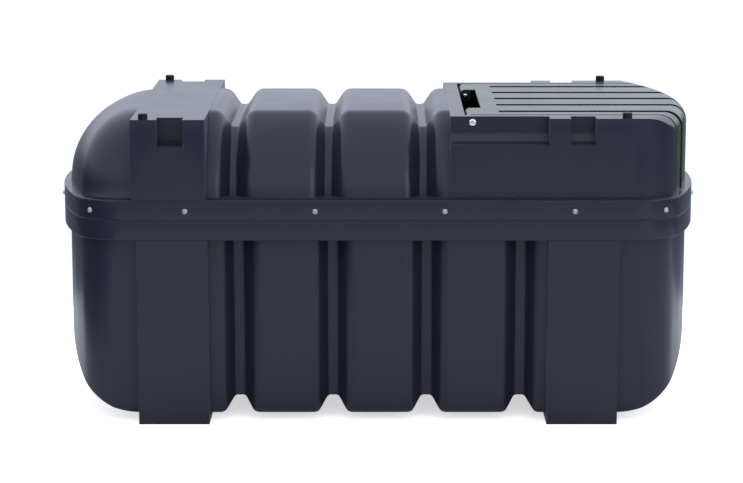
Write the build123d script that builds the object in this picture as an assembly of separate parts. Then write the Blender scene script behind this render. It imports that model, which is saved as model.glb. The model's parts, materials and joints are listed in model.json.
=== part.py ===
from build123d import *
import math
import os

# Bunded diesel storage tank, rotationally moulded. Millimetres, +Z up.
# The origin is the middle of the footprint, on the floor. The front is -Y, the pump cabinet is at +X.

# Overall form. The ends are crowned: a wide arc with rounded corners.
flange_half_length = 1250.0
flange_half_width = 630.0
crown_radius = 1400.0
corner_radius = 200.0
wall = 8.0

# Flanges that bolt the cover to the bund
flange_inset = 38.0
flange_edge_radius = 4.0
joint_edge_radius = 2.5
lower_flange_bottom = 717.0
joint_height = 795.0
upper_flange_top = 870.0
bead_height = 4.0
bead_inset = 27.0

# Bund
bund_end_inset = 23.0
bund_bottom = 28.0
bund_end_radius = 350.0
bund_edge_radius = 45.0
bund_groove_count = 4
bund_first_groove = 114.25
bund_last_groove = 100.25
bund_groove_mouth = 125.0
bund_crest_radius = 56.0

# Grooves, with one depth and slope in the bund and in the roof
groove_depth = 64.0
groove_side_run = 43.0
groove_floor_radius = 19.0

# Legs and skids
leg_from_end = 335.0
leg_width = 270.0

# Cover
cover_height = 1175.5
cover_end_inset = 27.0
top_bevel_drop = 48.0
top_bevel_depth = 8.0

# Ribbed roof
roof_step = 1.0
roof_flat_half_width = 345.0
roof_shoulder_radius = 390.0
roof_edge_radius = 100.0
roof_groove_count = 3
roof_first_groove = 101.0
roof_last_groove = 102.0
roof_groove_mouth = 114.0
roof_crest_radius = 48.0

# Dome at the left end
dome_length = 320.0
dome_crown_reach = 25.0
dome_corner_radius = 100.0

# Saddle across the left of the cover
saddle_width = 279.0
strap_pocket_edge = 97.0
strap_pocket_width = 99.0
strap_pocket_depth = 72.0
strap_pocket_height = 104.0
strap_ledge_height = 11.0
strap_ledge_depth = 20.0

# Pump cabinet
cabinet_length = 976.0
cabinet_inset = 33.0
cabinet_rim = 112.0
notch_depth = 75.0
notch_height = 100.0
notch_cove = 45.0
long_notch_length = 373.0
short_notch_start = 453.0
short_notch_width = 95.0
hinge_strip_width = 56.0

# Lid
lid_side_gap = 14.0
lid_end_radius = 65.0
lid_skirt = 40.0
lid_foot_gap = 0.5
lid_groove_start = 190.0
lid_groove_count = 5
lid_groove_pitch = 190.0
lid_groove_width = 36.0
lid_groove_depth = 20.0
lid_cutout_half_width = 280.0
lid_cutout_edge = 125.0

# Hinge
hinge_distance = 84.0
hinge_drop = 24.0
hinge_barrel_radius = 24.0
hinge_pin_radius = 9.0
hinge_pin_overrun = 20.0
hinge_pin_end_radius = 4.0
hinge_running_gap = 0.3
hinge_head_radius = 15.0
hinge_head_height = 9.0

# Lifting plugs on the top
plug_radius = 18.0
plug_height = 22.0
plug_chamfer = 3.0
saddle_plug_from_edge = 47.0
saddle_plug_from_front = 29.0
cabinet_plug_from_end = 311.0
cabinet_plug_from_front = 25.0

# Inner tank
inner_tank_gap = 12.0
inner_tank_end_radius = 248.0
inner_tank_top_gap = 6.0

# Values worked out from the sizes above
far = 3 * flange_half_length
cover_foot = upper_flange_top + bead_height
flange_ring_width = flange_inset + groove_depth + wall
crown_start = math.sqrt((crown_radius - corner_radius) ** 2 - (flange_half_width - corner_radius) ** 2)
outline_straight = flange_half_length - crown_radius + crown_start
groove_slope = math.atan2(groove_depth, groove_side_run)
leg_outer = flange_half_length - leg_from_end
leg_inner = leg_outer - leg_width
roof_height = cover_height - roof_step
roof_width = flange_half_width - flange_inset
saddle_outer = flange_half_length - dome_length
saddle_inner = saddle_outer - saddle_width
strap_pocket_outer = saddle_outer - strap_pocket_edge
strap_pocket_inner = strap_pocket_outer - strap_pocket_width
cabinet_left = flange_half_length - cabinet_length
cabinet_face = flange_half_width - cabinet_inset
cabinet_wall_inner = cabinet_face - cabinet_rim
lid_half_width = cabinet_wall_inner - lid_side_gap
hinge_x = cabinet_left + hinge_distance
hinge_z = cover_height - hinge_drop


def outline(side_inset, end_inset):
    """Plan of the tank inside the flange: straight sides, crowned ends and rounded corners."""
    half_width = flange_half_width - side_inset
    right_half = Pos(flange_half_length / 2, 0) * Rectangle(flange_half_length, 2 * half_width)
    right_half &= Pos(flange_half_length - crown_radius, 0) * Circle(crown_radius - end_inset)
    corners = right_half.vertices().sort_by(Axis.X)[-2:]
    right_half = fillet(corners, corner_radius - max(side_inset, end_inset))
    return right_half + mirror(right_half, about=Plane.YZ)


def groove_section(grow, width, crest_radius):
    """Groove across X with its mouth on y = 0 and its floor below, grown all round by a wall.

    The outer part stands above the mouth, so that the section cuts clear of the face.
    """
    depth = groove_depth
    reach = flange_inset
    shift = grow / math.sin(groove_slope) - grow / math.tan(groove_slope)
    mouth = width / 2 + shift
    floor = mouth - groove_side_run
    crest = crest_radius - grow
    base = groove_floor_radius + grow
    side = mouth + crest
    points = [
        (-side, reach), (-side, 0), (-mouth, 0), (-floor, -depth),
        (floor, -depth), (mouth, 0), (side, 0), (side, reach),
    ]
    face = make_face(Polyline(*points, close=True))
    mouths = [v for v in face.vertices() if abs(v.Y) < 0.01 and abs(abs(v.X) - mouth) < 0.01]
    face = fillet(mouths, crest)
    floors = [v for v in face.vertices() if abs(v.Y + depth) < 0.01]
    return fillet(floors, base)


def spread(first, last, count):
    """Evenly spaced places from the first to the last."""
    return [first + (last - first) * i / (count - 1) for i in range(count)]


def box(x0, x1, y0, y1, z0, z1):
    """Block between two corners."""
    size = Box(x1 - x0, y1 - y0, z1 - z0, align=(Align.MIN, Align.MIN, Align.MIN))
    return Pos(x0, y0, z0) * size


def slab(plane_name, low, high):
    """Very wide block between two planes, for splitting a shell."""
    if plane_name == "x":
        return box(low, high, -far, far, -far, far)
    if plane_name == "y":
        return box(-far, far, low, high, -far, far)
    return box(-far, far, -far, far, low, high)


def bevelled(face_y, low, length):
    """Block along X, centred, whose long top edges lean back as on the saddle and the cabinet."""
    crest = face_y - top_bevel_depth
    turn = cover_height - top_bevel_drop
    points = [
        (-face_y, low), (-face_y, turn), (-crest, cover_height),
        (crest, cover_height), (face_y, turn), (face_y, low),
    ]
    return extrude(Plane.YZ * make_face(Polyline(*points, close=True)), length, both=True)


def bund_body(grow):
    """Bund outside (grow 0) or inside (grow = wall), up to the flange."""
    half_width = flange_half_width - flange_inset - grow
    half_length = flange_half_length - bund_end_inset - grow
    bottom = bund_bottom + grow
    top = lower_flange_bottom
    places = spread(bund_first_groove - leg_inner, leg_inner - bund_last_groove, bund_groove_count)
    section = groove_section(grow, bund_groove_mouth, bund_crest_radius)

    plan = outline(flange_inset + grow, bund_end_inset + grow)
    for x in places:
        plan -= Pos(x, half_width) * section
        plan -= Pos(x, -half_width) * Rot(0, 0, 180) * section
    sides = Pos(0, 0, bottom) * extrude(plan, top - bottom)

    height = 2 * (top - bottom)
    profile = RectangleRounded(2 * half_length, height, bund_end_radius - grow)
    for x in places:
        profile -= Pos(x, -height / 2) * Rot(0, 0, 180) * section
    front_plane = Plane(origin=(0, flange_half_width, top), x_dir=(1, 0, 0), z_dir=(0, -1, 0))
    long_profile = extrude(front_plane * profile, 2 * flange_half_width)

    cross = RectangleRounded(2 * half_width, height, bund_edge_radius - grow)
    end_plane = Plane(origin=(-flange_half_length, 0, top), x_dir=(0, 1, 0), z_dir=(1, 0, 0))
    cross_profile = extrude(end_plane * cross, 2 * flange_half_length)
    return cross_profile & long_profile & sides


def flange_ring(low, high, bottom_radius, top_radius):
    """Flat ring of one flange, with its outer edges eased."""
    ring = Pos(0, 0, low) * extrude(outline(0, 0), high - low)
    ring = fillet(ring.edges().group_by(Axis.Z)[0], bottom_radius)
    ring = fillet(ring.edges().group_by(Axis.Z)[-1], top_radius)
    return ring - flange_opening()


def flange_opening():
    """Column inside both flange rings."""
    return extrude(outline(flange_ring_width, flange_ring_width), cover_height)


def foot_bead():
    """Low step on the upper flange that the cover's walls rise from."""
    plan = extrude(outline(bead_inset, bead_inset), bead_height)
    return Pos(0, 0, upper_flange_top) * plan


def legs_and_skids():
    """Hollow pads on the bund's faces that run on under it as skids."""
    outside = bund_body(0)
    pieces = {}
    for side, sign in (("left", -1), ("right", 1)):
        x0, x1 = sorted((sign * leg_inner, sign * leg_outer))
        width = flange_half_width
        top = lower_flange_bottom
        block = box(x0, x1, -width, width, 0, top)
        hollow = box(x0 + wall, x1 - wall, -width + wall, width - wall, wall, top)
        saddle = block - hollow - outside
        turn = flange_half_width - flange_inset - bund_edge_radius
        pieces[f"leg_front_{side}"] = saddle & slab("y", -2 * width, -turn)
        pieces[f"leg_rear_{side}"] = saddle & slab("y", turn, 2 * width)
        pieces[f"skid_{side}"] = saddle & slab("y", -turn, turn)
    return pieces


def ribbed_strip(grow):
    """Section of the roof along X, from the saddle to the cabinet, with its crests on y = -grow."""
    low = -groove_depth - 2 * wall
    middle = Pos((cabinet_left - saddle_inner) / 2, (low - grow) / 2)
    face = middle * Rectangle(cabinet_left + saddle_inner, -grow - low)
    first = roof_first_groove - saddle_inner
    for x in spread(first, cabinet_left - roof_last_groove, roof_groove_count):
        face -= Pos(x, -grow) * groove_section(grow, roof_groove_mouth, roof_crest_radius)
    return face


def shoulder_centre():
    """Centre, as y and z, of the arc from the roof's foot at the rear to the edge of its flat top."""
    run = roof_flat_half_width - roof_width
    rise = roof_height - cover_foot
    chord = math.hypot(run, rise)
    offset = math.sqrt(roof_shoulder_radius**2 - (chord / 2) ** 2) / chord
    y = (roof_flat_half_width + roof_width) / 2 - rise * offset
    z = (roof_height + cover_foot) / 2 + run * offset
    return y, z


def arc_about(centre, start, end):
    """Short arc in the Y-Z plane about a centre."""
    radius = math.dist(centre, start)
    middle = [(s + e) / 2 - c for s, e, c in zip(start, end, centre)]
    scale = radius / math.hypot(*middle)
    through = [c + m * scale for c, m in zip(centre, middle)]
    return ThreePointArc((0, *start), (0, *through), (0, *end))


def roof_path():
    """Line of the crests over the tank: up the front, round the shoulders and down the rear."""
    y, z = shoulder_centre()
    large, small = roof_shoulder_radius, roof_edge_radius
    small_z = roof_height - small
    small_y = y + math.sqrt((large - small) ** 2 - (small_z - z) ** 2)
    ratio = large / (large - small)
    turn = (y + (small_y - y) * ratio, z + (small_z - z) * ratio)
    start = (y + large, z)
    flat = (small_y, roof_height)
    path = []
    for sign in (-1, 1):
        edges = [((y, z), start, turn), ((small_y, small_z), turn, flat)]
        path += [arc_about(*[(sign * p[0], p[1]) for p in points]) for points in edges]
    path.append(Line((0, -small_y, roof_height), (0, small_y, roof_height)))
    return Wire(path)


def ribbed_roof():
    """Ribbed shell, carried up the front, over the round shoulders and down the rear."""
    y, z = shoulder_centre()
    low = Plane(origin=(0, -y - roof_shoulder_radius, z), x_dir=(1, 0, 0), z_dir=(0, 0, -1))
    shell = sweep(low * (ribbed_strip(0) - ribbed_strip(wall)), path=roof_path())
    return shell & slab("z", cover_foot, far)


def dome_section(z, grow):
    """Level section of the dome: straight sides, rounded corners and a crowned end."""
    centre_y, centre_z = shoulder_centre()
    level = (z - cover_foot) / (roof_height - grow - cover_foot)
    fall = math.sqrt(max(0, 1 - level * level))
    reach_low = flange_half_length - cover_end_inset
    reach_top = saddle_outer + dome_crown_reach
    reach = reach_top + (reach_low - reach_top) * fall - grow
    height = z + grow * level
    half = centre_y + math.sqrt(roof_shoulder_radius**2 - (height - centre_z) ** 2) - grow
    foot_corner = corner_radius - flange_inset
    corner = dome_corner_radius + (foot_corner - dome_corner_radius) * fall - grow
    crown = crown_radius - cover_end_inset - grow
    centre = crown - reach
    back = math.sqrt((crown - corner) ** 2 - (half - corner) ** 2)
    ratio = crown / (crown - corner)
    turn_x, turn_y = centre - back * ratio, (half - corner) * ratio
    lean = math.atan2(half - corner, back) / 2 + math.pi / 4
    mid_x = centre - back - corner * math.cos(lean)
    mid_y = half - corner + corner * math.sin(lean)
    side_x = centre - back
    edges = [
        Line((-saddle_inner, half), (side_x, half)),
        ThreePointArc((side_x, half), (mid_x, mid_y), (turn_x, turn_y)),
        ThreePointArc((turn_x, turn_y), (-reach, 0), (turn_x, -turn_y)),
        ThreePointArc((turn_x, -turn_y), (mid_x, -mid_y), (side_x, -half)),
        Line((side_x, -half), (-saddle_inner, -half)),
        Line((-saddle_inner, -half), (-saddle_inner, half)),
    ]
    return Pos(0, 0, z) * make_face(edges)


def dome_body(grow):
    """Rounded left end of the cover, lofted upwards through level sections, up to the saddle."""
    top = roof_height - grow
    angles = (0, 18, 36, 54, 70, 82, 90)
    levels = [cover_foot + (top - cover_foot) * math.sin(math.radians(a)) for a in angles]
    body = loft([dome_section(z, grow) for z in levels])
    return body & slab("x", -far, -saddle_outer)


def saddle():
    """Flat band over the left of the cover, with a strap pocket at each end."""
    width = flange_half_width
    body = bevelled(width, upper_flange_top, far) & slab("x", -saddle_outer, -saddle_inner)
    inner = box(
        -saddle_outer + wall, -saddle_inner - wall, -width + top_bevel_depth + wall,
        width - top_bevel_depth - wall, upper_flange_top - wall, cover_height - wall,
    )
    floor = cover_height - strap_pocket_height
    for sign in (-1, 1):
        depth = width - strap_pocket_depth
        y0, y1 = sorted((sign * depth, sign * 2 * width))
        pocket = box(-strap_pocket_outer, -strap_pocket_inner, y0, y1, floor, far)
        y0, y1 = sorted((sign * (depth - wall), sign * (depth + strap_ledge_depth)))
        step = floor + strap_ledge_height
        body -= pocket - box(-strap_pocket_outer, -strap_pocket_inner, y0, y1, floor - wall, step)
        y0, y1 = sorted((sign * (depth - wall), sign * 2 * width))
        inner -= box(-strap_pocket_outer - wall, -strap_pocket_inner + wall, y0, y1, floor - wall, far)
    return body - inner - foot_bead()


def notch(x0, x1, grow):
    """Recess in the top edge of the cabinet's front, with a coved floor."""
    back = cabinet_face - notch_depth - grow
    floor = cover_height - notch_height - grow
    tool = box(x0 - grow, x1 + grow, -far, -back, floor, far)
    edge = tool.edges().filter_by(Axis.X).group_by(Axis.Z)[0].sort_by(Axis.Y)[-1]
    return fillet(edge, notch_cove + grow)


def cover_block(grow):
    """Block of the cover's right end, with its top edge rounded over round the crown."""
    low = cover_foot - grow
    high = cover_height - grow
    plan = outline(cabinet_inset + grow, cover_end_inset + grow)
    crown = Cylinder(
        crown_radius - cover_end_inset - grow, high - low, align=(Align.CENTER, Align.CENTER, Align.MIN)
    )
    crown = fillet(crown.edges().group_by(Axis.Z)[-1], lid_end_radius - grow)
    crown = Pos(flange_half_length - crown_radius, 0, low) * crown
    return (Pos(0, 0, low) * extrude(plan, high - low)) & crown


def cabinet_body(grow):
    """Cabinet outside (grow 0) or the hollow in its front wall (grow = wall)."""
    body = cover_block(grow) & slab("x", cabinet_left + grow, far)
    body &= bevelled(cabinet_face - grow, cover_foot - wall, far)
    start = cabinet_left + short_notch_start
    body -= notch(-far, cabinet_left + long_notch_length, grow)
    return body - notch(start, start + short_notch_width, grow)


def cabinet():
    """Double-walled sides and the bulkhead towards the roof."""
    solid = cabinet_body(0)
    hollow = cabinet_body(wall)
    side_cut = slab("y", -far, -cabinet_wall_inner)
    hollow_cut = slab("y", -far, -cabinet_wall_inner - wall)
    front = (solid & side_cut) - (hollow & hollow_cut)
    bore = Cylinder(hinge_pin_radius + hinge_running_gap, 2 * flange_half_width)
    front -= Pos(hinge_x, 0, hinge_z) * Rot(90, 0, 0) * bore
    middle = slab("y", -cabinet_wall_inner, cabinet_wall_inner)
    bulkhead = solid & slab("x", 0, cabinet_left + wall)
    top = slab("z", cover_height - wall, far)
    bulkhead += solid & slab("x", 0, cabinet_left + hinge_strip_width) & top
    return {
        "cabinet_front_wall": front,
        "cabinet_rear_wall": mirror(front, about=Plane.XZ),
        "cabinet_bulkhead": bulkhead & middle,
    }


def lid():
    """Ribbed lid that covers the cabinet's top and right end and rolls round the hinge pins."""
    half = lid_half_width
    right = slab("x", hinge_x, far)
    outside = cover_block(0) & right & slab("y", -half, half) & slab("z", cover_foot + lid_foot_gap, far)
    inside = cover_block(wall) & right & slab("y", -half + wall, half - wall)
    rib_floor = cover_block(lid_groove_depth)
    rib_back = cover_block(lid_groove_depth + wall)
    start = cabinet_left + lid_groove_start
    edge = lid_groove_pitch * (lid_groove_count - 1) / 2
    for y in spread(-edge, edge, lid_groove_count):
        reach = lid_groove_width / 2
        outside -= box(start, far, y - reach, y + reach, 0, far) - rib_floor
        reach += wall
        inside -= box(start - wall, far, y - reach, y + reach, 0, far) - rib_back
    shell = outside - inside
    shell -= slab("z", 0, cover_height - lid_skirt) & slab("x", 0, outline_straight)
    cutout = cabinet_left + lid_cutout_edge
    shell -= box(0, cutout, -lid_cutout_half_width, lid_cutout_half_width, 0, far)

    length = half - lid_cutout_half_width
    barrel = Rot(90, 0, 0) * Cylinder(hinge_barrel_radius, length)
    bore = Rot(90, 0, 0) * Cylinder(hinge_pin_radius + hinge_running_gap, 2 * half)
    for sign in (-1, 1):
        shell += Pos(hinge_x, sign * (half - length / 2), hinge_z) * barrel
    return shell - Pos(hinge_x, 0, hinge_z) * bore


def hinge_pin():
    """Front hinge pin with its domed head on the notch wall."""
    wall_face = cabinet_face - notch_depth
    length = wall_face - lid_cutout_half_width + hinge_pin_overrun
    shank = Cylinder(hinge_pin_radius, length, align=(Align.CENTER, Align.CENTER, Align.MIN))
    shank = fillet(shank.edges().group_by(Axis.Z)[-1], hinge_pin_end_radius)
    head = Pos(0, 0, -hinge_head_height) * Cylinder(
        hinge_head_radius, hinge_head_height, align=(Align.CENTER, Align.CENTER, Align.MIN)
    )
    head = fillet(head.edges().group_by(Axis.Z)[0], hinge_head_height * 0.8)
    return Pos(hinge_x, -wall_face, hinge_z) * Rot(-90, 0, 0) * (shank + head)


def plug():
    """Small moulded plug that closes a lifting point."""
    body = Cylinder(plug_radius, plug_height, align=(Align.CENTER, Align.CENTER, Align.MIN))
    return chamfer(body.edges().group_by(Axis.Z)[-1], plug_chamfer)


def inner_tank_body(grow):
    """Inner vessel outside (grow 0) or inside (grow = wall)."""
    low = bund_bottom + groove_depth + wall + grow
    high = upper_flange_top - inner_tank_top_gap - grow
    inset = flange_ring_width + inner_tank_gap + grow
    body = Pos(0, 0, low) * extrude(outline(inset, inset), high - low)
    length = 2 * (flange_half_length - inset)
    profile = RectangleRounded(length, 2 * (high - low), inner_tank_end_radius - grow)
    plane = Plane(origin=(0, flange_half_width, high), x_dir=(1, 0, 0), z_dir=(0, -1, 0))
    return extrude(plane * profile, 2 * flange_half_width) & body


def inner_tank():
    """Closed inner vessel that stands on the grooves of the bund floor."""
    return inner_tank_body(0) - inner_tank_body(wall)


def build():
    """All pieces by name."""
    pieces = {}
    bund = bund_body(0) - bund_body(wall)
    split = (leg_inner + leg_outer) / 2
    floor_split = bund_bottom + groove_depth + 2 * wall
    middle = bund & slab("x", -split, split)
    pieces["bund_right_end"] = bund & slab("x", split, far)
    pieces["bund_left_end"] = mirror(pieces["bund_right_end"], about=Plane.YZ)
    pieces["bund_floor"] = middle & slab("z", -far, floor_split)
    walls = middle & slab("z", floor_split, far)
    pieces["bund_front_wall"] = walls & slab("y", -far, 0)
    pieces["bund_rear_wall"] = walls & slab("y", 0, far)
    pieces.update(legs_and_skids())
    pieces["lower_flange"] = flange_ring(
        lower_flange_bottom, joint_height, joint_edge_radius, joint_edge_radius
    )
    upper = flange_ring(joint_height, upper_flange_top, joint_edge_radius, flange_edge_radius)
    pieces["upper_flange"] = upper + (foot_bead() - flange_opening())
    pieces["ribbed_roof"] = ribbed_roof()
    pieces["left_dome"] = dome_body(0) - dome_body(wall)
    pieces["left_saddle"] = saddle()
    pieces.update(cabinet())
    pieces["lid"] = lid()
    pieces["hinge_pin_front"] = hinge_pin()
    pieces["hinge_pin_rear"] = mirror(hinge_pin(), about=Plane.XZ)
    saddle_place = (saddle_plug_from_edge - saddle_outer, flange_half_width - saddle_plug_from_front)
    cabinet_place = (flange_half_length - cabinet_plug_from_end, cabinet_face - cabinet_plug_from_front)
    for place, (x, y) in (("saddle", saddle_place), ("cabinet", cabinet_place)):
        pieces[f"{place}_plug_front"] = Pos(x, -y, cover_height) * plug()
        pieces[f"{place}_plug_rear"] = Pos(x, y, cover_height) * plug()
    pieces["inner_tank"] = inner_tank()
    return pieces


os.makedirs("parts", exist_ok=True)
for name, shape in build().items():
    export_step(shape, f"parts/{name}.step")
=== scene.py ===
"""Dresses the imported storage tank: moulded finishes, flange bolts, camera and soft studio light."""

import json
import logging
import math
from dataclasses import dataclass, field
from enum import Enum

import bpy
import numpy as np
from mathutils import Euler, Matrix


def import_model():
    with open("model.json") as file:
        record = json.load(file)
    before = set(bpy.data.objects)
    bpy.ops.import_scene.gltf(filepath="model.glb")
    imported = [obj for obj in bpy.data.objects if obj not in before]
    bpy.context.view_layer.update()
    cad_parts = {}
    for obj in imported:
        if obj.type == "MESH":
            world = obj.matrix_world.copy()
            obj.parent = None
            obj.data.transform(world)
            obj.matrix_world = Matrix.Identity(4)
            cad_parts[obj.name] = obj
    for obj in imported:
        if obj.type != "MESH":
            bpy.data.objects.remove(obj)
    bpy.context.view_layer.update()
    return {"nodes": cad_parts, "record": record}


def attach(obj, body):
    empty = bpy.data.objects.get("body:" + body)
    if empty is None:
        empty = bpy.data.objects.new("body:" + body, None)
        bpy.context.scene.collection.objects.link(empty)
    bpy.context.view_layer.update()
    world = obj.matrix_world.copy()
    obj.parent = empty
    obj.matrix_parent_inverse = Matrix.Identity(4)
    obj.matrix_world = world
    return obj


LOG = logging.getLogger("storage_tank")
FRAME_WIDTH = 743
MM_PER_METRE = 1000
MERGE_DISTANCE = 0.00002


class Slot(Enum):
    """Material slots of the part's record."""

    SHELL = "shell"
    LID = "lid"
    PIN = "pin"
    PLUG = "plug"
    INNER = "inner_tank"


def linear(code: str) -> tuple[float, float, float, float]:
    """Turns an sRGB hex colour into linear red, green, blue and alpha.

    Args:
        code: Six hex digits with a leading hash.

    Returns:
        The linear colour with an alpha of one.
    """
    parts = [int(code[i:i + 2], 16) / 255 for i in (1, 3, 5)]
    values = [c / 12.92 if c <= 0.04045 else ((c + 0.055) / 1.055) ** 2.4 for c in parts]
    return (values[0], values[1], values[2], 1.0)


def node(tree: bpy.types.NodeTree, kind: str, settings: dict, links: dict) -> bpy.types.Node:
    """Adds one node with its settings and its incoming links.

    Args:
        tree: The node tree.
        kind: The node's type name.
        settings: Properties by name, and socket values by socket name or number.
        links: Output sockets by the name or number of the socket they feed.

    Returns:
        The new node.
    """
    made = tree.nodes.new(kind)
    for name, value in settings.items():
        if isinstance(name, str) and hasattr(made, name):
            setattr(made, name, value)
        else:
            made.inputs[name].default_value = value
    for name, output in links.items():
        tree.links.new(output, made.inputs[name])
    return made


@dataclass(frozen=True)
class MouldedPlastic:
    """Rotationally moulded polyethylene: a dull skin with fine grain and a faint mottle.

    The skin is rough enough to blur what it mirrors, and its waxy bloom turns pale at a
    grazing angle. The grain is drawn at a few millimetres, coarser than the real one, so that
    it shows at this distance.
    """

    name: str
    colour: str
    mottle: str
    roughness: float
    specular: float
    bloom: float
    bloom_colour: str = "#C4CCE4"
    grain_mm: float = 4.0
    mottle_mm: float = 160.0
    grain_depth_mm: float = 0.04
    grain_strength: float = 0.6
    roughness_swing: float = 0.04
    bloom_roughness: float = 0.25
    refraction: float = 1.5

    def build(self) -> bpy.types.Material:
        """Makes the node material.

        Returns:
            The finished material.
        """
        material = bpy.data.materials.new(self.name)
        material.use_nodes = True
        tree = material.node_tree
        tree.nodes.clear()
        place = node(tree, "ShaderNodeTexCoord", {}, {}).outputs["Object"]
        cloud = node(
            tree, "ShaderNodeTexNoise",
            {"Scale": MM_PER_METRE / self.mottle_mm, "Detail": 3.0, "Roughness": 0.5},
            {"Vector": place},
        )
        blend = node(
            tree, "ShaderNodeMix",
            {"data_type": "RGBA", 6: linear(self.colour), 7: linear(self.mottle)},
            {0: cloud.outputs[0]},
        )
        tint = self.shaded(tree, place, blend.outputs[2])
        grain = node(
            tree, "ShaderNodeTexNoise",
            {"Scale": MM_PER_METRE / self.grain_mm, "Detail": 2.0, "Roughness": 0.6},
            {"Vector": place},
        )
        bump = node(
            tree, "ShaderNodeBump",
            {"Strength": self.grain_strength, "Distance": self.grain_depth_mm / MM_PER_METRE},
            {"Height": grain.outputs[0]},
        )
        rough = node(
            tree, "ShaderNodeMapRange",
            {
                "To Min": self.roughness - self.roughness_swing,
                "To Max": self.roughness + self.roughness_swing,
            },
            {"Value": cloud.outputs[0]},
        )
        dull = self.dulled(tree, place, rough.outputs[0])
        surface = node(
            tree, "ShaderNodeBsdfPrincipled",
            {
                "IOR": self.refraction, "Specular IOR Level": self.specular,
                "Sheen Weight": self.bloom, "Sheen Roughness": self.bloom_roughness,
                "Sheen Tint": linear(self.bloom_colour),
            },
            {"Base Color": tint, "Roughness": dull, "Normal": bump.outputs[0]},
        )
        node(tree, "ShaderNodeOutputMaterial", {}, {"Surface": surface.outputs[0]})
        return material

    def shaded(
        self, tree: bpy.types.NodeTree, place: bpy.types.NodeSocket, tint: bpy.types.NodeSocket,
    ) -> bpy.types.NodeSocket:
        """Colour after the painted shade of the piece, which a plain skin has none of.

        Args:
            tree: The node tree.
            place: The object coordinates.
            tint: The clean colour.

        Returns:
            The colour to use.
        """
        return tint

    def dulled(
        self, tree: bpy.types.NodeTree, place: bpy.types.NodeSocket, rough: bpy.types.NodeSocket,
    ) -> bpy.types.NodeSocket:
        """Roughness after the painted shade of the piece, which a plain skin has none of.

        Args:
            tree: The node tree.
            place: The object coordinates.
            rough: The clean roughness.

        Returns:
            The roughness to use.
        """
        return rough


@dataclass(frozen=True)
class GroovedPlastic(MouldedPlastic):
    """Moulded polyethylene of the lid, with painted shade in its grooves: a matt near-black colour.

    The painted shade reaches a little past each groove's edges, so that its line shows at the
    camera's distance. It starts beyond the plain strip at the hinge.
    """

    # Painted shade: the grooves' inside is coloured near-black and made rough, standing in for the
    # shade that falls there.
    groove_shade: str = "#040505"
    groove_shade_roughness: float = 0.95
    pitch_mm: float = 190.0
    reach_mm: float = 23.0
    start_mm: float = 464.0

    def in_groove(self, tree: bpy.types.NodeTree, place: bpy.types.NodeSocket) -> bpy.types.NodeSocket:
        """One inside the grooves, which lie a pitch apart in Y on both sides of the middle.

        Args:
            tree: The node tree.
            place: The object coordinates.

        Returns:
            The output with the value.
        """
        way = node(tree, "ShaderNodeSeparateXYZ", {}, {0: place})
        aside = node(
            tree, "ShaderNodeMath", {"operation": "PINGPONG", 1: self.pitch_mm / MM_PER_METRE / 2},
            {0: way.outputs["Y"]},
        )
        near = node(
            tree, "ShaderNodeMath", {"operation": "LESS_THAN", 1: self.reach_mm / MM_PER_METRE},
            {0: aside.outputs[0]},
        )
        beyond = node(
            tree, "ShaderNodeMath", {"operation": "GREATER_THAN", 1: self.start_mm / MM_PER_METRE},
            {0: way.outputs["X"]},
        )
        both = node(
            tree, "ShaderNodeMath", {"operation": "MULTIPLY"},
            {0: near.outputs[0], 1: beyond.outputs[0]},
        )
        return both.outputs[0]

    def shaded(
        self, tree: bpy.types.NodeTree, place: bpy.types.NodeSocket, tint: bpy.types.NodeSocket,
    ) -> bpy.types.NodeSocket:
        """Colour with the painted shade in the grooves.

        Args:
            tree: The node tree.
            place: The object coordinates.
            tint: The clean colour.

        Returns:
            The colour to use.
        """
        # Painted shade: the grooves turn near-black.
        blend = node(
            tree, "ShaderNodeMix", {"data_type": "RGBA", 7: linear(self.groove_shade)},
            {0: self.in_groove(tree, place), 6: tint},
        )
        return blend.outputs[2]

    def dulled(
        self, tree: bpy.types.NodeTree, place: bpy.types.NodeSocket, rough: bpy.types.NodeSocket,
    ) -> bpy.types.NodeSocket:
        """Roughness with the painted shade in the grooves, rough so that they mirror little.

        Args:
            tree: The node tree.
            place: The object coordinates.
            rough: The clean roughness.

        Returns:
            The roughness to use.
        """
        # Painted shade: the grooves' roughness rises so that they mirror little and stay dark.
        blend = node(
            tree, "ShaderNodeMapRange", {"To Max": self.groove_shade_roughness},
            {"Value": self.in_groove(tree, place), "To Min": rough},
        )
        return blend.outputs[0]


@dataclass(frozen=True)
class PlatedSteel:
    """Zinc plated steel: a bright grey metal with fine tumbling marks."""

    name: str
    colour: str
    roughness: float
    roughness_swing: float = 0.06
    mark_mm: float = 1.5

    def build(self) -> bpy.types.Material:
        """Makes the node material.

        Returns:
            The finished material.
        """
        material = bpy.data.materials.new(self.name)
        material.use_nodes = True
        tree = material.node_tree
        tree.nodes.clear()
        place = node(tree, "ShaderNodeTexCoord", {}, {}).outputs["Object"]
        marks = node(
            tree, "ShaderNodeTexNoise", {"Scale": MM_PER_METRE / self.mark_mm, "Detail": 2.0},
            {"Vector": place},
        )
        rough = node(
            tree, "ShaderNodeMapRange",
            {
                "To Min": self.roughness - self.roughness_swing,
                "To Max": self.roughness + self.roughness_swing,
            },
            {"Value": marks.outputs[0]},
        )
        surface = node(
            tree, "ShaderNodeBsdfPrincipled",
            {"Base Color": linear(self.colour), "Metallic": 1.0}, {"Roughness": rough.outputs[0]},
        )
        node(tree, "ShaderNodeOutputMaterial", {}, {"Surface": surface.outputs[0]})
        return material


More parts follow.
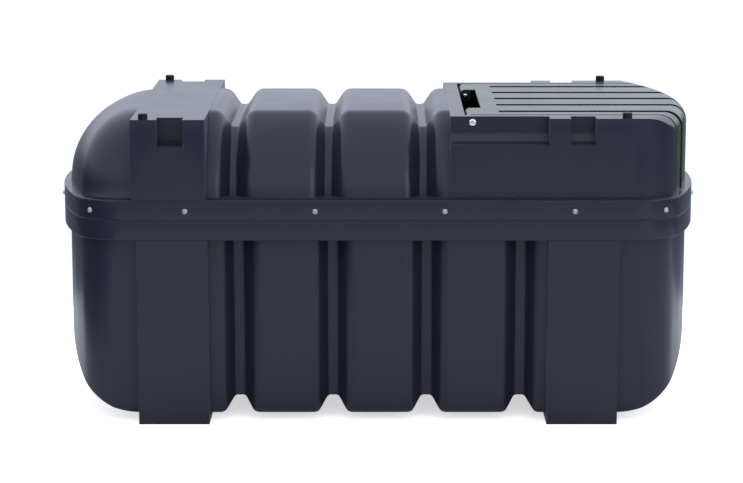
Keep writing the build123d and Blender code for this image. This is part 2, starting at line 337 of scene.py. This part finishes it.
def mesh_object(name: str, points: np.ndarray, faces: np.ndarray) -> bpy.types.Object:
    """Puts arrays of points and faces into a smooth mesh object at the origin.

    Args:
        name: The object's name.
        points: Point places in metres, one row each.
        faces: Corner numbers, one row a face.

    Returns:
        The new object, linked to the scene.
    """
    mesh = bpy.data.meshes.new(name)
    mesh.from_pydata(points.tolist(), [], faces.tolist())
    mesh.polygons.foreach_set("use_smooth", np.ones(len(mesh.polygons), dtype=bool))
    mesh.update()
    made = bpy.data.objects.new(name, mesh)
    bpy.context.scene.collection.objects.link(made)
    return made


def turned_surface(profile: np.ndarray, steps: int) -> tuple[np.ndarray, np.ndarray]:
    """Surface of revolution about Z from a profile of radius and height.

    Point (i, j) is (r_i cos a_j, r_i sin a_j, h_i), with a_j spread evenly round the circle,
    and each face joins two neighbours along the profile and two round it. Where the profile
    reaches radius zero or repeats a point, the coincident points are left for a weld to merge.

    Args:
        profile: Radius and height, one row a point, from the outer foot to the centre.
        steps: Points round the circle.

    Returns:
        The points and the four-cornered faces.
    """
    angle = np.linspace(0, 2 * math.pi, steps, endpoint=False)
    radius = profile[:, 0][:, None]
    height = np.repeat(profile[:, 1][:, None], steps, axis=1)
    points = np.stack([radius * np.cos(angle), radius * np.sin(angle), height], axis=2).reshape(-1, 3)
    row = np.arange(len(profile) - 1)[:, None] * steps
    here = np.arange(steps)[None, :]
    after = (here + 1) % steps
    faces = np.stack([row + here, row + after, row + steps + after, row + steps + here], axis=2)
    return points, faces.reshape(-1, 4)


@dataclass
class FlangeBolts:
    """Domed bolt heads on the upper flange band, all round the tank, in metres."""

    level: float = 0.828
    head_radius: float = 0.0085
    head_height: float = 0.005
    washer_radius: float = 0.0105
    washer_height: float = 0.0015
    washer_sunk: float = 0.001
    dimple_radius: float = 0.0035
    dimple_floor_share: float = 0.8
    dimple_level_share: float = 0.55
    dome_points: int = 8
    steps_round: int = 20
    side_places: tuple[float, ...] = (-0.7285, -0.2375, 0.2525, 0.7435)
    half_length: float = 1.25
    half_width: float = 0.63
    crown_radius: float = 1.4
    corner_radius: float = 0.2
    corner_turn: float = math.radians(37)
    crown_offset: float = 0.19

    def profile(self) -> np.ndarray:
        """Radius and height of a domed head on its washer, from the washer's foot inwards.

        Returns:
            One row a point: the washer's rim, a quarter ellipse for the dome, and the dimple.
        """
        turn = np.linspace(0, math.pi / 2, self.dome_points)
        reach = self.head_radius - self.dimple_radius
        dome = np.stack([
            self.dimple_radius + reach * np.cos(turn),
            self.washer_height + self.head_height * np.sin(turn),
        ], axis=1)
        rim = np.array([
            [self.washer_radius, -self.washer_sunk],
            [self.washer_radius, self.washer_height],
            [self.head_radius, self.washer_height],
        ])
        low = self.washer_height + self.head_height * self.dimple_level_share
        dimple = np.array([[self.dimple_radius * self.dimple_floor_share, low], [0.0, low]])
        return np.concatenate([rim, dome, dimple])

    def places(self) -> np.ndarray:
        """Places and outward directions of the bolts, as x, y, and the normal's x and y.

        On the straight sides the normal is along Y. A corner is an arc about a centre, where the
        point at turn a from the side is (centre_x + r sin a, centre_y + r cos a), and the crown
        is a wide arc about a point on the X axis. On both the normal points from the centre.

        Returns:
            One row a bolt.
        """
        middle = self.half_length - self.crown_radius
        corner_y = self.half_width - self.corner_radius
        corner_x = middle + math.sqrt((self.crown_radius - self.corner_radius) ** 2 - corner_y ** 2)
        crown_turn = math.acos(self.crown_offset / self.crown_radius)
        arcs = (
            (corner_x, corner_y, self.corner_radius, self.corner_turn),
            (middle, 0.0, self.crown_radius, crown_turn),
        )
        rows = []
        for side in (-1, 1):
            rows += [(x, side * self.half_width, 0.0, float(side)) for x in self.side_places]
            for end in (-1, 1):
                for x, y, radius, turn in arcs:
                    across, along = math.sin(turn), math.cos(turn)
                    rows.append((
                        end * (x + radius * across), side * (y + radius * along),
                        end * across, side * along,
                    ))
        return np.array(rows)

    def build(self, material: bpy.types.Material) -> bpy.types.Object:
        """Makes all heads as one mesh.

        Args:
            material: The finish of the heads.

        Returns:
            The finished object.
        """
        head, faces = turned_surface(self.profile(), self.steps_round)
        places = self.places()
        out = np.stack([places[:, 2], places[:, 3], np.zeros(len(places))], axis=1)
        along = np.stack([-places[:, 3], places[:, 2], np.zeros(len(places))], axis=1)
        up = np.array([0.0, 0.0, 1.0])
        base = np.stack([places[:, 0], places[:, 1], np.full(len(places), self.level)], axis=1)
        points = (
            base[:, None, :]
            + head[None, :, 0:1] * along[:, None, :]
            + head[None, :, 1:2] * up[None, None, :]
            + head[None, :, 2:3] * out[:, None, :]
        )
        numbers = faces[None, :, :] + np.arange(len(places))[:, None, None] * len(head)
        bolts = mesh_object("flange_bolts", points.reshape(-1, 3), numbers.reshape(-1, 4))
        bolts.data.materials.append(material)
        weld = bolts.modifiers.new("weld", "WELD")
        weld.merge_threshold = MERGE_DISTANCE
        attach(bolts, "tank")
        return bolts


def smooth_by_angle(limit: float) -> bpy.types.NodeTree:
    """Geometry nodes that shade faces smooth, except across edges sharper than a limit.

    Args:
        limit: The angle in radians.

    Returns:
        The node group.
    """
    tree = bpy.data.node_groups.new("smooth_by_angle", "GeometryNodeTree")
    tree.interface.new_socket("Geometry", in_out="INPUT", socket_type="NodeSocketGeometry")
    tree.interface.new_socket("Geometry", in_out="OUTPUT", socket_type="NodeSocketGeometry")
    source = node(tree, "NodeGroupInput", {}, {})
    angle = node(tree, "GeometryNodeInputMeshEdgeAngle", {}, {})
    flat = node(
        tree, "FunctionNodeCompare", {"operation": "LESS_EQUAL", 1: limit}, {0: angle.outputs[0]},
    )
    faces = node(
        tree, "GeometryNodeSetShadeSmooth", {"domain": "FACE", "Shade Smooth": True},
        {"Geometry": source.outputs[0]},
    )
    edges = node(
        tree, "GeometryNodeSetShadeSmooth", {"domain": "EDGE"},
        {"Geometry": faces.outputs[0], "Shade Smooth": flat.outputs[0]},
    )
    node(tree, "NodeGroupOutput", {}, {0: edges.outputs[0]})
    return tree


@dataclass
class TankDressing:
    """Finishes and edge treatment of the carried-over solids."""

    smooth_limit: float = math.radians(32)
    flat_limit: float = math.radians(0.5)
    bevel_limit: float = math.radians(40)
    bevel_steps: int = 3
    edge_radius: float = 0.003
    finishes: dict[Slot, MouldedPlastic | PlatedSteel] = field(default_factory=lambda: {
        Slot.SHELL: MouldedPlastic(
            "anthracite_polyethylene", "#1D1F2D", "#202230",
            roughness=0.29, specular=0.36, bloom=0.18,
        ),
        # The lid's grooves carry painted shade.
        Slot.LID: GroovedPlastic(
            "dark_green_polyethylene", "#17291B", "#1B2F20",
            roughness=0.28, specular=0.42, bloom=0.15, bloom_colour="#B8CCC0",
        ),
        Slot.PLUG: MouldedPlastic(
            "black_polyethylene", "#0E0E12", "#111116",
            roughness=0.40, specular=0.3, bloom=0.02,
        ),
        Slot.INNER: MouldedPlastic(
            "black_inner_polyethylene", "#15151A", "#19191F",
            roughness=0.5, specular=0.3, bloom=0.02,
        ),
        # Partly painted light: the pin is bright plated steel, made whiter than the bolts' steel so
        # that it shows lit inside the shaded hinge cut-out.
        Slot.PIN: PlatedSteel("painted_bright_plated_steel", "#EDEDF2", roughness=0.22),
    })
    bolt_steel: PlatedSteel = field(
        default_factory=lambda: PlatedSteel("dulled_plated_steel", "#B4B4BE", roughness=0.40),
    )
    bevelled: tuple[str, ...] = ("cabinet_front_wall", "cabinet_rear_wall")

    def dress(self, nodes: dict[str, bpy.types.Object], record: dict) -> None:
        """Gives each solid its material and smooth shading.

        Where edges are rounded, the large faces keep their own normals, so that the rounding
        doesn't shade them.

        Args:
            nodes: The carried-over solids by name.
            record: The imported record, which names each solid's material slot.
        """
        materials = {slot: finish.build() for slot, finish in self.finishes.items()}
        slots = {part["node"]: Slot(part["material_slot"]) for part in record["subparts"]}
        group = smooth_by_angle(self.smooth_limit)
        for name, solid in nodes.items():
            solid.data.materials.clear()
            solid.data.materials.append(materials[slots[name]])
            weld = solid.modifiers.new("weld", "WELD")
            weld.merge_threshold = MERGE_DISTANCE
            if name in self.bevelled:
                self.round_edges(solid)
            smooth = solid.modifiers.new("smooth", "NODES")
            smooth.node_group = group
            if name in self.bevelled:
                weighted = solid.modifiers.new("weighted", "WEIGHTED_NORMAL")
                weighted.keep_sharp = True
            LOG.info("%s: %s", name, materials[slots[name]].name)

    def round_edges(self, solid: bpy.types.Object) -> None:
        """Rounds the sharp edges of a flat-sided solid.

        Args:
            solid: The carried-over solid.
        """
        flat = solid.modifiers.new("flat", "DECIMATE")
        flat.decimate_type = "DISSOLVE"
        flat.angle_limit = self.flat_limit
        bevel = solid.modifiers.new("bevel", "BEVEL")
        bevel.width = self.edge_radius
        bevel.segments = self.bevel_steps
        bevel.limit_method = "ANGLE"
        bevel.angle_limit = self.bevel_limit


def seen_ray(tree: bpy.types.NodeTree, sheet: bpy.types.NodeSocket) -> bpy.types.NodeSocket:
    """One for rays that show the background: to the eye, in a reflection, or through glass.

    Args:
        tree: The node tree.
        sheet: One where the white sheet is that reflections and glass show, fading to zero.

    Returns:
        The output with the value.
    """
    path = node(tree, "ShaderNodeLightPath", {}, {})
    mirrored = node(
        tree, "ShaderNodeMath", {"operation": "MAXIMUM"},
        {0: path.outputs["Is Glossy Ray"], 1: path.outputs["Is Transmission Ray"]},
    )
    shown = node(
        tree, "ShaderNodeMath", {"operation": "MULTIPLY"}, {0: mirrored.outputs[0], 1: sheet},
    )
    whole = node(
        tree, "ShaderNodeMath", {"operation": "MAXIMUM"},
        {0: path.outputs["Is Camera Ray"], 1: shown.outputs[0]},
    )
    return whole.outputs[0]


@dataclass
class Studio:
    """Camera at the photograph's angle, pale floor and soft light.

    Places and sizes are in metres. The surroundings' fades are measured on the direction's X,
    Y and Z, which run from minus one to one. The white sheet behind the tank is what
    reflections see. In the surroundings it fades out sheet_spread to each side, and on the
    floor it starts at sheet_front, is whole up to sheet_inner from the middle and ends at
    sheet_outer.
    """

    focal_pixels: float = 2400.0
    sensor_mm: float = 36.0
    camera_place: tuple[float, float, float] = (0.0, -9.533, 2.417)
    pitch_degrees: float = 10.83
    middle_x: float = 378.0
    view_reach: float = 200.0
    floor_left: float = -2.4
    floor_right: float = 5.0
    floor_front: float = -8.0
    floor_back: float = 1.5
    floor_colour: str = "#F0F0F0"
    floor_roughness: float = 0.5
    floor_lift: float = 0.6
    sheet_spread: float = 0.35
    sheet_front: float = 0.7
    sheet_inner: float = 0.8
    sheet_outer: float = 1.3
    sheet_colour: tuple[float, float, float, float] = (1.0, 1.05, 1.18, 1.0)
    light_colour: tuple[float, float, float, float] = (0.92, 0.96, 1.08, 1.0)
    side_fade: float = 0.8
    left_strength: float = 0.2
    right_strength: float = 1.1
    behind_fade: tuple[float, float] = (0.5, 0.95)
    behind_strength: float = 1.4
    overhead_fade: tuple[float, float] = (0.1, 0.42)
    overhead_strength: float = 1.25
    below_fade: float = 0.12
    below_strength: float = 0.12
    softbox_place: tuple[float, float, float] = (5.0, -4.0, 3.0)
    softbox_size: float = 3.0
    softbox_watts: float = 40.0
    softbox_aim: tuple[float, float, float] = (0.0, 0.0, 0.6)

    def camera(self) -> None:
        """Places the camera. The lens is sensor width times focal pixels over image width."""
        data = bpy.data.cameras.new("camera")
        data.lens = self.sensor_mm * self.focal_pixels / FRAME_WIDTH
        data.sensor_width = self.sensor_mm
        data.shift_x = (FRAME_WIDTH / 2 - self.middle_x) / FRAME_WIDTH
        data.clip_end = self.view_reach
        made = bpy.data.objects.new("camera", data)
        made.location = self.camera_place
        made.rotation_euler = Euler((math.radians(90 - self.pitch_degrees), 0, 0))
        bpy.context.scene.collection.objects.link(made)
        bpy.context.scene.camera = made

    def world(self) -> None:
        """White surroundings to the eye, and a cool light that is brightest low behind the tank."""
        world = bpy.data.worlds.new("studio")
        bpy.context.scene.world = world
        world.use_nodes = True
        tree = world.node_tree
        tree.nodes.clear()
        place = node(tree, "ShaderNodeTexCoord", {}, {})
        way = node(tree, "ShaderNodeSeparateXYZ", {}, {0: place.outputs["Generated"]})
        side = node(
            tree, "ShaderNodeMapRange",
            {
                "From Min": -self.side_fade, "From Max": self.side_fade,
                "To Min": self.left_strength, "To Max": self.right_strength,
            },
            {"Value": way.outputs["X"]},
        )
        horizon = node(
            tree, "ShaderNodeMapRange",
            {
                "interpolation_type": "SMOOTHSTEP", "From Min": self.behind_fade[0],
                "From Max": self.behind_fade[1], "To Max": self.behind_strength,
            },
            {"Value": way.outputs["Y"], "To Min": side.outputs[0]},
        )
        above = node(
            tree, "ShaderNodeMapRange",
            {
                "interpolation_type": "SMOOTHSTEP", "From Min": self.overhead_fade[0],
                "From Max": self.overhead_fade[1], "To Max": self.overhead_strength,
            },
            {"Value": way.outputs["Z"], "To Min": horizon.outputs[0]},
        )
        whole = node(
            tree, "ShaderNodeMapRange",
            {"From Min": 0.0, "From Max": self.below_fade, "To Min": self.below_strength},
            {"Value": way.outputs["Z"], "To Max": above.outputs[0]},
        )
        glow = node(
            tree, "ShaderNodeBackground", {"Color": self.light_colour},
            {"Strength": whole.outputs[0]},
        )
        white = node(tree, "ShaderNodeBackground", {"Color": self.sheet_colour}, {})
        sheet = self.white_sheet(tree, way)
        both = node(
            tree, "ShaderNodeMixShader", {},
            {0: seen_ray(tree, sheet), 1: glow.outputs[0], 2: white.outputs[0]},
        )
        node(tree, "ShaderNodeOutputWorld", {}, {"Surface": both.outputs[0]})

    def white_sheet(self, tree: bpy.types.NodeTree, way: bpy.types.Node) -> bpy.types.NodeSocket:
        """One in the directions of the white sheet behind the tank, which fades out at its sides.

        Args:
            tree: The node tree of the surroundings.
            way: The node that gives the direction's X, Y and Z.

        Returns:
            The output with the value.
        """
        aside = node(tree, "ShaderNodeMath", {"operation": "ABSOLUTE"}, {0: way.outputs["X"]})
        across = node(
            tree, "ShaderNodeMapRange",
            {"interpolation_type": "SMOOTHSTEP", "From Min": self.sheet_spread, "From Max": 0.0},
            {"Value": aside.outputs[0]},
        )
        behind = node(
            tree, "ShaderNodeMath", {"operation": "GREATER_THAN", 1: 0.0}, {0: way.outputs["Y"]},
        )
        both = node(
            tree, "ShaderNodeMath", {"operation": "MULTIPLY"},
            {0: across.outputs[0], 1: behind.outputs[0]},
        )
        return both.outputs[0]

    def floor(self) -> None:
        """Plain pale floor that keeps the shadow, and is lifted to white for the eye and the sheet."""
        left, right = self.floor_left, self.floor_right
        front, back = self.floor_front, self.floor_back
        corners = np.array([[left, front, 0], [right, front, 0], [right, back, 0], [left, back, 0]])
        made = mesh_object("floor", corners, np.array([[0, 1, 2, 3]]))
        material = bpy.data.materials.new("pale_floor")
        material.use_nodes = True
        tree = material.node_tree
        tree.nodes.clear()
        place = node(tree, "ShaderNodeTexCoord", {}, {})
        way = node(tree, "ShaderNodeSeparateXYZ", {}, {0: place.outputs["Object"]})
        aside = node(tree, "ShaderNodeMath", {"operation": "ABSOLUTE"}, {0: way.outputs["X"]})
        within = node(
            tree, "ShaderNodeMapRange",
            {
                "interpolation_type": "SMOOTHSTEP",
                "From Min": self.sheet_outer, "From Max": self.sheet_inner,
            },
            {"Value": aside.outputs[0]},
        )
        behind = node(
            tree, "ShaderNodeMapRange",
            {
                "interpolation_type": "SMOOTHSTEP",
                "From Min": self.sheet_front, "From Max": self.floor_back,
            },
            {"Value": way.outputs["Y"]},
        )
        sheet = node(
            tree, "ShaderNodeMath", {"operation": "MULTIPLY"},
            {0: within.outputs[0], 1: behind.outputs[0]},
        )
        lift = node(
            tree, "ShaderNodeMapRange", {"To Max": self.floor_lift},
            {"Value": seen_ray(tree, sheet.outputs[0])},
        )
        glow = node(tree, "ShaderNodeEmission", {}, {"Strength": lift.outputs[0]})
        matt = node(
            tree, "ShaderNodeBsdfDiffuse",
            {"Color": linear(self.floor_colour), "Roughness": self.floor_roughness}, {},
        )
        both = node(tree, "ShaderNodeAddShader", {}, {0: matt.outputs[0], 1: glow.outputs[0]})
        node(tree, "ShaderNodeOutputMaterial", {}, {"Surface": both.outputs[0]})
        made.data.materials.append(material)

    def softbox(self) -> None:
        """Square soft light at the right front that points at the middle of the tank.

        A light shines along its own -Z, so it is tipped about X from straight down to the aim's
        slope, and then turned about Z to the aim's bearing.
        """
        data = bpy.data.lights.new("right_softbox", "AREA")
        data.size = self.softbox_size
        data.energy = self.softbox_watts
        made = bpy.data.objects.new("right_softbox", data)
        made.location = self.softbox_place
        aim = np.array(self.softbox_aim) - np.array(self.softbox_place)
        tip = math.atan2(math.hypot(aim[0], aim[1]), -aim[2])
        made.rotation_euler = Euler((tip, 0, math.atan2(-aim[0], aim[1])))
        bpy.context.scene.collection.objects.link(made)

    def build(self) -> None:
        """Sets up the camera, the surroundings, the floor and the light."""
        self.camera()
        self.world()
        self.floor()
        self.softbox()
        bpy.context.scene.view_settings.view_transform = "Standard"


def main() -> None:
    """Builds the scene and reports each piece."""
    logging.basicConfig(level=logging.INFO, format="%(message)s")
    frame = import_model()
    dressing = TankDressing()
    dressing.dress(frame["nodes"], frame["record"])
    bolts = FlangeBolts().build(dressing.bolt_steel.build())
    LOG.info("%s: %d faces", bolts.name, len(bolts.data.polygons))
    Studio().build()
    bpy.context.view_layer.update()


if __name__ == "__main__":
    main()
